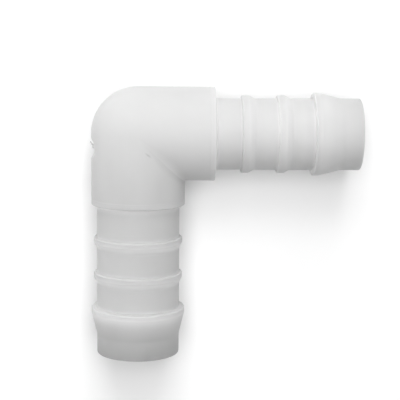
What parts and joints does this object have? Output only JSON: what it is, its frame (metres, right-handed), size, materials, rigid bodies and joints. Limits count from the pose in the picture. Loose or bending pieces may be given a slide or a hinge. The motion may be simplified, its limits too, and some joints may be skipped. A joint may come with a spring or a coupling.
{
  "type": "reducing elbow hose connector",
  "caption": "Moulded plastic elbow with a large and a small ribbed and barbed hose leg at a right angle, each ending at a stop face on the elbow body.",
  "frame": {"origin": "where the two bore axes cross, inside the elbow body", "axes": "+X along the small bore, out of the small leg's mouth; -Y along the large bore, out of the large leg's mouth; +Z square to both, up when the connector lies on its side"},
  "size_m": [0.0505, 0.0507, 0.0176],
  "materials": {
    "natural_polyamide": "moulded natural polyamide, satin and slightly translucent"
  },
  "bodies": {
    "root": {"elbow_connector": "natural_polyamide"}
  },
  "joints": []
}
